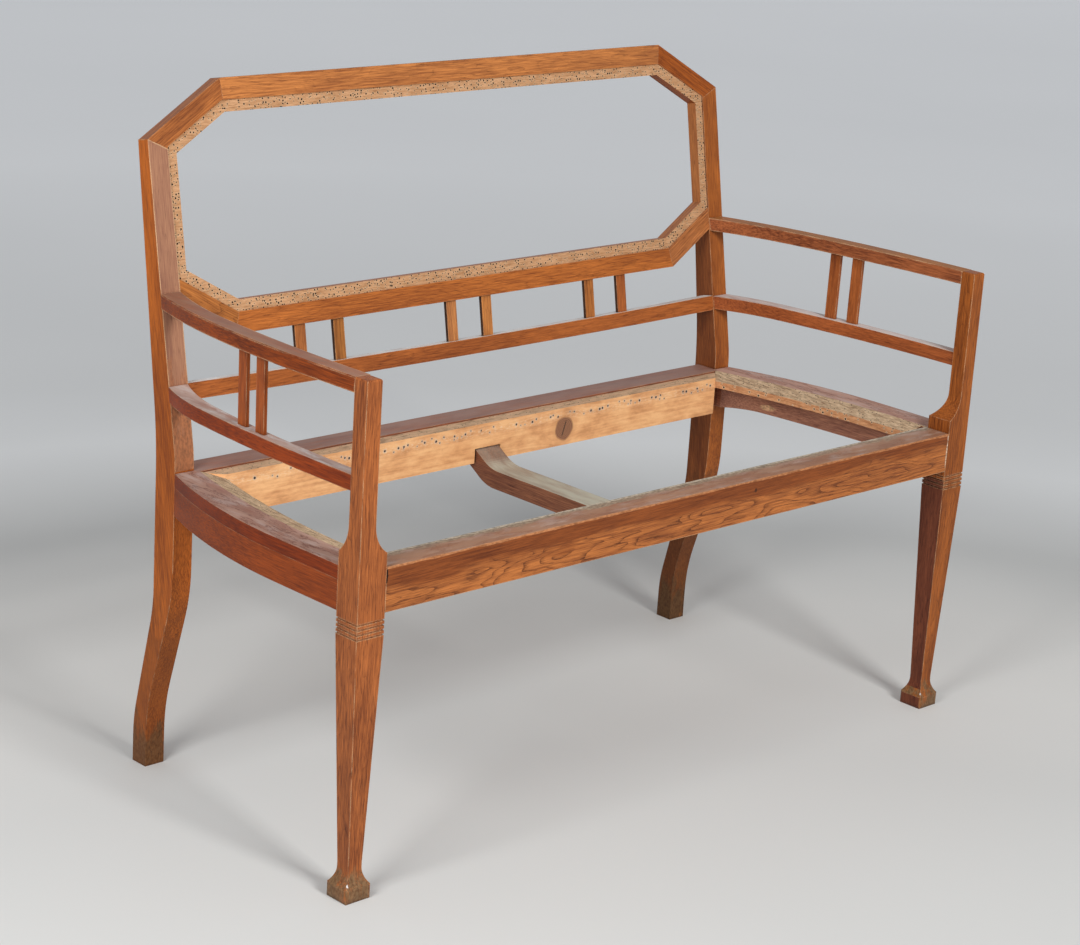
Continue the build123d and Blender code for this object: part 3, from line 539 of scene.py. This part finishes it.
# Back posts: painted shade darkens them towards the floor, over scuffed heels. The left one's front
# carries a painted pinkish sheen, and the right one's face that looks inwards is painted darker as shade.
backPost = {
    "stain": {"left": "AA591F", "right": "985423"},
    "finish": {"pith": (60, -40), "figure": 0.3, "edgeWearAndHighlight": 0.8},
    # painted shade for the right post's face that looks inwards
    "innerShade": "7C4422",
    "innerShadeFinish": {"pith": (60, -40), "figure": 0.3, "edgeWearAndHighlight": 0.7},
    # painted sheen on the left post's raked front, with less of it low down
    "sheenColour": "9D6F56",
    "sheenFinish": {"pith": (60, -40), "figure": 0.1, "edgeWearAndHighlight": 0.95, "rub": 0.16, "contrast": 0.5,
                    "arrisMm": 3.0},
    "sheenAbove": 0.43,
    "facesFront": 0.93,            # cosine with the raked front
    "lessSheen": {"colour": "A0623A", "place": (-0.55, 0.15, 0.47), "stretch": (1, 1, 0.7),
                "radiusMm": 75, "strength": 0.6},
    # painted shade, darker towards the floor and stronger on the right post
    "lowShade": {"colour": "5E361C", "stretch": (1, 1, 0.6), "radiusMm": 110},
    "lowShadeStrength": {"left": 0.35, "right": 0.6},
    "lowShadePlace": (0.514, 0.235, 0.09),
    "heel": {"colour": "5C452C", "stretch": (1, 1, 0.65), "radiusMm": 42, "strength": 0.7},
    "heelPlace": (0.514, 0.232, 0.0),
}


def facesLeft(face):
    return face.normal.x < -0.9


def onInnerLeg(face):
    return facesLeft(face) and face.center.z < frontLeg["innerBelow"]


def onPostFront(face):
    return face.normal.dot(rakeFront) > backPost["facesFront"] and face.center.z > backPost["sheenAbove"]


for side, sign in sides:
    leg, post = "front_leg_" + side, "back_post_" + side
    footMarks = [dict(frontLeg["scuff"], place=onSide(frontLeg["scuffPlace"], sign)),
                 dict(frontLeg["nick"], place=frontLeg["nickPlace"][side])]
    lowShadeAndHeels = [dict(backPost["lowShade"], place=onSide(backPost["lowShadePlace"], sign),
                      strength=backPost["lowShadeStrength"][side]),
                 dict(backPost["heel"], place=onSide(backPost["heelPlace"], sign))]
    legFinishes = [stainedOak(leg, upWay, -backWay, frontLeg["stain"][side], marks=footMarks,
                              **frontLeg["finish"])]
    postFinishes = [stainedOak(post, upRake, rakeFront, backPost["stain"][side], marks=lowShadeAndHeels,
                               **backPost["finish"])]
    if side == "left":
        # the left post's front: a painted pinkish sheen
        sheened = stainedOak(post, upRake, rakeFront, backPost["sheenColour"], kind="sheenedOak",
                           marks=[backPost["lessSheen"]], **backPost["sheenFinish"])
        postFinishes.append((sheened, onPostFront))
    else:
        # painted shade on the right leg's and post's faces that look inwards
        inner = stainedOak(leg, upWay, -acrossWay, frontLeg["innerShade"], kind="shadedOak",
                           **frontLeg["innerShadeFinish"])
        legFinishes.append((inner, onInnerLeg))
        inner = stainedOak(post, upRake, -acrossWay, backPost["innerShade"], kind="shadedOak",
                           marks=lowShadeAndHeels, **backPost["innerShadeFinish"])
        postFinishes.append((inner, facesLeft))
    dress(leg, *legFinishes)
    dress(post, *postFinishes)
print("legs and posts finished")

# Eight-sided frame of the back, with its tacking ledge 2 mm behind the face
backFrame = {
    "topStain": "AC6A39",
    "topFinish": {"pith": (30, -55), "figure": 0.35, "dustAndSheen": 0.35, "edgeWearAndHighlight": 0.35},
    "bottomStain": "A85F2B",
    "bottomFinish": {"pith": (-30, -50), "figure": 0.4, "dustAndSheen": 0.35, "edgeWearAndHighlight": 0.35},
    "upperStain": {"left": "9A5A2E", "right": "944C1B"},
    "lowerStain": {"left": "A26230", "right": "A76639"},
    "cornerFinish": {"pith": (10, -45), "dustAndSheen": 0.3, "edgeWearAndHighlight": 0.35},
    "cornerFigure": {"upper": 0.35, "lower": 0.7, "strip": 0.2},
    "cornerRun": 0.081,
    "cornerRise": 0.0475,
    "ledge": {"pale": "CD9E76", "dark": "A47650", "pitchMm": 4.5, "radiusMm": 0.92, "tears": 0.35,
              "rimming": 0.35},
    "ledgeBehindMm": 1.5,
    "ledgeFaces": 0.99,            # cosine with the raked front
}
faceCorner = Vector((0, 0.16455, 0.452))      # a point of the back's front face
backLedge = bareOak("backLedge", acrossWay, rakeFront, **backFrame["ledge"])


def onBackLedge(face):
    behind = (faceCorner - face.center).dot(rakeFront)
    facesFront = face.normal.dot(rakeFront) > backFrame["ledgeFaces"]
    return facesFront and behind > backFrame["ledgeBehindMm"] * mm


topOak = stainedOak("top_rail", acrossWay, rakeFront, backFrame["topStain"], **backFrame["topFinish"])
dress("top_rail", topOak, (backLedge, onBackLedge))
bottomOak = stainedOak("panel_bottom_rail", acrossWay, rakeFront, backFrame["bottomStain"],
                       **backFrame["bottomFinish"])
dress("panel_bottom_rail", bottomOak, (backLedge, onBackLedge))
for side, sign in sides:
    upper, lower = backFrame["upperStain"][side], backFrame["lowerStain"][side]
    figures = backFrame["cornerFigure"]
    rising = acrossWay * -sign * backFrame["cornerRun"] + upRake * backFrame["cornerRise"]
    falling = acrossWay * sign * backFrame["cornerRun"] + upRake * backFrame["cornerRise"]
    for name, way, stain, figure in (("upper_corner_" + side, rising, upper, figures["upper"]),
                                     ("lower_corner_" + side, falling, lower, figures["lower"]),
                                     ("ledge_strip_" + side, upRake, lower, figures["strip"])):
        cornerOak = stainedOak(name, way, rakeFront, stain, figure=figure, **backFrame["cornerFinish"])
        dress(name, cornerOak, (backLedge, onBackLedge))

# Middle rail of the back, with pale dust and a painted sheen on top, and the slats on it, their left
# edges painted dark as shade
midBackRail = {
    "stain": "995428",
    "finish": {"pith": (25, -40), "figure": 0.3, "dustAndSheen": 1.3, "smear": 0.8, "dustAndSheenColour": "F2EEEA"},
}
backSlat = {
    "stain": {1: "A46334", 2: "99602F", 3: "AE7040", 4: "AE6E3A", 5: "9C5E2E", 6: "9A552A"},
    "finish": {"pith": (40, -60), "figure": 0.2},
    # painted shade on the slats' left faces
    "edgeShade": "3E2416",
    "edgeShadeFinish": {"pith": (40, -60), "figure": 0.2, "edgeWearAndHighlight": 0.2},
}
dress("mid_back_rail", stainedOak("mid_back_rail", acrossWay, rakeFront, midBackRail["stain"],
                                  **midBackRail["finish"]))
for number, stain in backSlat["stain"].items():
    name = f"back_slat_{number}"
    edge = stainedOak(name, upRake, acrossWay, backSlat["edgeShade"], kind="shadedOak",
                      **backSlat["edgeShadeFinish"])
    dress(name, stainedOak(name, upRake, rakeFront, stain, **backSlat["finish"]), (edge, facesLeft))
print("back finished")

# Arms, middle side rails and their slats
arm = {
    "stain": {"left": "80380F", "right": "935230"},
    "dustAndSheen": {"left": 0.5, "right": 0.35},
    "dustAndSheenColour": {"left": "B1917C", "right": "C88A3C"},
    "finish": {"pith": (30, -40), "figure": 0.35, "edgeWearAndHighlight": 0.85, "rub": 0.05, "arrisMm": 3.0,
               "contrast": 1.3},
}
midSideRail = {
    "stain": {"left": "87360F", "right": "985029"},
    "dustAndSheenColour": {"left": "CCB3A6", "right": "E8DCD6"},
    "finish": {"pith": (30, -40), "figure": 0.35, "dustAndSheen": 0.9, "smear": 0.9, "edgeWearAndHighlight": 0.8},
}
sideSlat = {
    "stain": {"left": "94481C", "right": "9B5428"},
    "finish": {"pith": (40, -60), "figure": 0.2},
}
for side, sign in sides:
    name = "arm_" + side
    dress(name, stainedOak(name, backWay, upWay, arm["stain"][side], dustAndSheen=arm["dustAndSheen"][side],
                           dustAndSheenColour=arm["dustAndSheenColour"][side], **arm["finish"]))
    name = "mid_side_rail_" + side
    dress(name, stainedOak(name, backWay, upWay, midSideRail["stain"][side],
                           dustAndSheenColour=midSideRail["dustAndSheenColour"][side], **midSideRail["finish"]))
    for name in (f"side_slat_1_{side}", f"side_slat_2_{side}"):
        dress(name, stainedOak(name, upWay, acrossWay * sign, sideSlat["stain"][side],
                               **sideSlat["finish"]))
print("sides finished")

# Bare ledges of the seat: the boards' bevels and inner edges, the step behind the front rail, and the
# inner rail's top, coarse with torn fibre and old soiling
seatLedge = {
    "torn": {"pale": "E8CCA8", "dark": "80624A", "soil": "C2A380", "soiling": 0.3, "pitchMm": 7.0,
             "tears": 0.55, "tear": "3C2A1E", "tearMm": (9, 2.4, 2.4), "fibreMm": (16, 3.0, 3.0)},
    "innerTop": {"pale": "E8CCA8", "dark": "80624A", "soil": "DCB08A", "soiling": 0.7, "pitchMm": 9.0},
    "edge": {"pale": "D9A072", "dark": "A46C48", "pitchMm": 8.0, "radiusMm": 1.1, "tears": 0.4,
             "rimming": 0.7},
    "bevelTilt": (0.9, 0.995),     # how far the bevel looks up
    "bevelAbove": 0.42,
    "edgeAbove": 0.415,
    "edgeWithin": 0.51,            # from the middle of the seat
}
boardBevel = bareOak("seatLedge", backWay, upWay, **seatLedge["torn"])
railLedge = bareOak("railLedge", acrossWay, upWay, **seatLedge["torn"])
innerTop = bareOak("innerRailTop", acrossWay, upWay, **seatLedge["innerTop"])
boardEdge = bareOak("boardEdge", backWay, acrossWay, **seatLedge["edge"])


def onBoardBevel(face):
    low, high = seatLedge["bevelTilt"]
    return low < face.normal.z < high and face.center.z > seatLedge["bevelAbove"]


def onBoardEdge(face):
    towardsMiddle = -face.normal.x * math.copysign(1, face.center.x)
    within = abs(face.center.x) < seatLedge["edgeWithin"] and face.center.z > seatLedge["edgeAbove"]
    return towardsMiddle > 0.7 and within


def onRailStep(face):
    # it looks up and back
    return face.normal.z > 0.7 and face.normal.y > 0.3


def looksUp(face):
    return face.normal.z > 0.9


# Seat boards, dusty with brown water stains, and the bowed rails under them, the right one chipped
seatBoard = {
    "stain": {"left": "762C08", "right": "8A4A2A"},
    "dustAndSheenColour": {"left": "BE9B8A", "right": "CCA594"},
    "finish": {"pith": (30, -35), "dustAndSheen": 0.85, "smear": 0.3, "tides": 0.6, "edgeWearAndHighlight": 0.3},
}
curvedRail = {
    "stain": {"left": "863B13", "right": "9A6954"},
    "finish": {"pith": (40, -50), "figure": 0.25, "edgeWearAndHighlight": 0.3},
    "marks": {"left": [],
              "right": [{"colour": "CFA67E", "place": (0.5322, 0.080, 0.3853), "stretch": (1, 0.4, 1.2),
                         "radiusMm": 5.5, "strength": 0.9}]},
}
for side, sign in sides:
    name = "seat_board_" + side
    dress(name, stainedOak(name, backWay, upWay, seatBoard["stain"][side],
                           dustAndSheenColour=seatBoard["dustAndSheenColour"][side], **seatBoard["finish"]),
          (boardBevel, onBoardBevel), (boardEdge, onBoardEdge))
    name = "curved_side_rail_" + side
    dress(name, stainedOak(name, backWay, acrossWay * sign, curvedRail["stain"][side],
                           marks=curvedRail["marks"][side], **curvedRail["finish"]))

# Front rail, figured below and plainer and redder above
frontRail = {
    "stain": "A66232",
    "grain": (1, 0, 0.015),
    "finish": {"pith": (-12, -42), "figure": 1.0, "figureFrom": 5, "plainTint": "B0978A", "dustAndSheen": 0.6,
               "smear": 0.25, "tides": 0.35, "edgeWearAndHighlight": 0.8, "rub": 0.10, "dustAndSheenColour": "C09C82"},
    # an open joint, a glue line, the worn front arris, the grey strip behind with a pale crust on it,
    # and a small knot
    "marks": [
        {"colour": "140B07", "place": (-0.5333, -0.2708, 0.4225), "stretch": (1, 1, 0.17),
         "radiusMm": 1.9, "strength": 0.95},
        {"colour": "D9C6B0", "place": (0.5330, -0.2708, 0.404), "stretch": (1, 1, 0.05),
         "radiusMm": 1.3, "strength": 0.7},
        {"colour": "C4875A", "place": (0, -0.2700, 0.4315), "stretch": (0, 1, 1),
         "radiusMm": 1.9, "strength": 0.55},
        {"colour": "9A8872", "place": (0, -0.2245, 0.432), "stretch": (0, 1, 1),
         "radiusMm": 15.0, "strength": 0.85},
        {"colour": "C9BDA8", "place": (0, -0.2285, 0.432), "stretch": (0, 1, 1),
         "radiusMm": 2.6, "strength": 0.6},
        {"colour": "3A2114", "place": (0.1193, -0.2708, 0.4176), "stretch": (1, 1, 0.7),
         "radiusMm": 2.4, "strength": 0.8},
    ],
}
frontOak = stainedOak("front_seat_rail", frontRail["grain"], -backWay, frontRail["stain"],
                      marks=frontRail["marks"], **frontRail["finish"])
dress("front_seat_rail", frontOak, (railLedge, onRailStep))

# Back rail and the pine rail fixed against it, the brace, left from the saw and thick with dust, and
# the hidden dowels
backRail = {
    "stain": "8A5038",
    "finish": {"pith": (30, -40), "dustAndSheen": 0.55, "dustAndSheenColour": "AC948A"},
}
brace = {
    "stain": "7C4E38",
    "finish": {"pith": (20, -30), "figure": 0.2, "dustAndSheen": 1.0, "edgeWearAndHighlight": 0.3, "dustAndSheenColour": "BEB9A6"},
}
dowel = {
    "stain": "C49A68",
    "finish": {"figure": 0.1},
}
dress("back_seat_rail", stainedOak("back_seat_rail", acrossWay, -backWay, backRail["stain"],
                                   **backRail["finish"]))
dress("inner_back_rail", planedPine(), (innerTop, looksUp))
dress("seat_brace", stainedOak("seat_brace", backWay, upWay, brace["stain"], kind="sawnOak",
                               **brace["finish"]))
dress("dowels", stainedOak("dowels", upWay, backWay, dowel["stain"], kind="turnedOak", **dowel["finish"]))
print("seat finished")

# Studio: a matt pale floor that glows as painted light in bands beyond a soft darker pool behind the
# object, two softboxes and plain air
studio = {
    "floor": "DCDCD9",
    "floorRadius": 40,
    "floorSides": 96,
    "floorTones": ((0.3, 0.95), (0.7, 1.0)),
    "rollerPerMetre": 180.0,
    "reliefMm": 0.2,
    "reliefStrength": 0.1,
    "roughness": 0.7,
    "specular": 0.5,
    "ior": 1.45,
    "poolCentre": (-0.8, -1.3, 0),
    "poolReach": 14.0,
    "mid": "D6CBC0",
    "air": "C8CBD0",
    # share of the reach, colour and amount: the first, the last, then those between
    "glow": ((0.104, "mid", 0), (1.0, "air", 1), (0.128, "mid", 0.17), (0.152, "mid", 0.17),
             (0.178, "mid", 0), (0.214, "air", 0.50), (0.243, "air", 0.44), (0.30, "air", 0.54),
             (0.41, "air", 0.78)),
    "glowStrength": 0.58,
    "airOnObject": 0.42,
    "airSeen": 0.95,
    "leftSoftbox": {"place": (-2.3, -0.65, 1.7), "target": (-0.2, -0.1, 0.4), "size": (0.9, 1.1),
                    "power": 33},
    "frontSoftbox": {"place": (-0.6, -4.3, 3.0), "target": (0, 0, 0.4), "size": (1.2, 1.6),
                     "power": 165},
}


def makeFloor():
    mesh = bpy.data.meshes.new("studioFloor")
    tool = bmesh.new()
    bmesh.ops.create_circle(tool, cap_ends=True, segments=studio["floorSides"],
                            radius=studio["floorRadius"])
    tool.to_mesh(mesh)
    tool.free()
    floor = bpy.data.objects.new("studioFloor", mesh)
    bpy.context.scene.collection.objects.link(floor)
    material, shader, tree, add = newMaterial("paintedFloor")
    # matt floor paint with a faint roller texture; for camera and glossy rays it glows as painted light,
    # in bands that reach the brightness of a pale backdrop far from the pool
    place = add("TexCoord").outputs["Object"]
    fromPool = add("VectorMath", place, studio["poolCentre"], operation="SUBTRACT")
    far = add("VectorMath", fromPool, operation="LENGTH")
    farShare = add("Math", far, studio["poolReach"], operation="DIVIDE")
    glowBands = add("ValToRGB", farShare, stops=[(share, linear(studio[tone], amount))
                                              for share, tone, amount in studio["glow"]])
    light = add("LightPath")
    seen = add("Math", light.outputs["Is Camera Ray"], light.outputs["Is Glossy Ray"], operation="ADD",
               use_clamp=True)
    clouds = add("TexNoise", place, 0.8, 2.0, 0.5)
    colour = add("ValToRGB", clouds, stops=[(part, linear(studio["floor"], amount))
                                            for part, amount in studio["floorTones"]])
    glow = add("Math", seen, studio["glowStrength"], operation="MULTIPLY")
    tree.links.new(glowBands.outputs[0], shader.inputs["Emission Color"])
    tree.links.new(glow.outputs[0], shader.inputs["Emission Strength"])
    roller = add("TexNoise", place, studio["rollerPerMetre"])
    bump = add("Bump", named={"Strength": studio["reliefStrength"], "Distance": studio["reliefMm"] * mm,
                              "Height": roller})
    finishShader(tree, shader, colour, studio["roughness"], bump, studio)
    mesh.materials.append(material)


def areaLight(name, place, target, size, power):
    lamp = bpy.data.lights.new(name, "AREA")
    lamp.shape = "RECTANGLE"
    lamp.size, lamp.size_y = size
    lamp.energy = power
    light = bpy.data.objects.new(name, lamp)
    bpy.context.scene.collection.objects.link(light)
    light.location = place
    light.visible_camera = False
    light.rotation_euler = (Vector(target) - Vector(place)).to_track_quat("-Z", "Y").to_euler()


def makeAir():
    world = bpy.data.worlds.new("studioAir")
    world.use_nodes = True
    tree = world.node_tree
    light = addNode(tree, "LightPath")
    seen = addNode(tree, "Math", light.outputs["Is Camera Ray"], light.outputs["Is Glossy Ray"],
                   operation="ADD", use_clamp=True)
    strength = addNode(tree, "MapRange", seen, 0.0, 1.0, studio["airOnObject"], studio["airSeen"])
    background = tree.nodes["Background"]
    background.inputs["Color"].default_value = linear(studio["air"])
    tree.links.new(strength.outputs[0], background.inputs["Strength"])
    bpy.context.scene.world = world


makeFloor()
for name in ("leftSoftbox", "frontSoftbox"):
    areaLight(name, **studio[name])
makeAir()

# Camera, solved from the corners of the frame in the photograph
camera = {
    "place": (-2.5174, -2.5572, 1.4889),
    "yaw": 44.244,
    "pitch": 17.042,
    "roll": 3.655,
    "lensMm": 89.587,
    "sensorMm": 36,
}


def makeCamera():
    data = bpy.data.cameras.new("photoCamera")
    data.sensor_fit = "HORIZONTAL"
    data.sensor_width = camera["sensorMm"]
    data.lens = camera["lensMm"]
    view = bpy.data.objects.new("photoCamera", data)
    bpy.context.scene.collection.objects.link(view)
    yaw, pitch, roll = (math.radians(camera[key]) for key in ("yaw", "pitch", "roll"))
    forward = Vector((math.sin(yaw) * math.cos(pitch), math.cos(yaw) * math.cos(pitch), -math.sin(pitch)))
    level = Vector((math.cos(yaw), -math.sin(yaw), 0))
    upright = level.cross(forward)
    right = level * math.cos(roll) + upright * math.sin(roll)
    up = upright * math.cos(roll) - level * math.sin(roll)
    turn = Matrix((right, up, -forward)).transposed().to_4x4()
    view.matrix_world = Matrix.Translation(Vector(camera["place"])) @ turn
    bpy.context.scene.camera = view


makeCamera()
bpy.context.scene.view_settings.view_transform = "Standard"
print("studio set")
